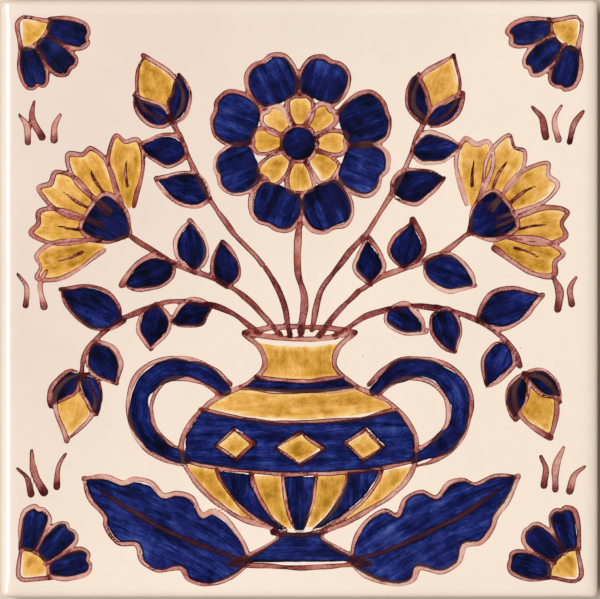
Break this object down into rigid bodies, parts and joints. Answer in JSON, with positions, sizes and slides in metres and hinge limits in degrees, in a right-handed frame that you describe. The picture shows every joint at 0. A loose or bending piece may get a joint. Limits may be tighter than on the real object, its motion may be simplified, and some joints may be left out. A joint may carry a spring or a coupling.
{
  "type": "azulejo tile",
  "caption": "Square glazed earthenware wall tile with cushioned edges, a hand-painted vase of flowers on its cream face and a keyed bare back.",
  "frame": {"origin": "centre of the tile's back plane, on the surface it lies on", "axes": "+Z out of the painted face, +Y to the top of the painted picture, +X to its right"},
  "size_m": [0.15, 0.15, 0.007],
  "materials": {
    "glazed_tile": "glossy cream tin glaze with painted decoration, bare biscuit back"
  },
  "bodies": {
    "root": {"tile": "glazed_tile"}
  },
  "joints": []
}
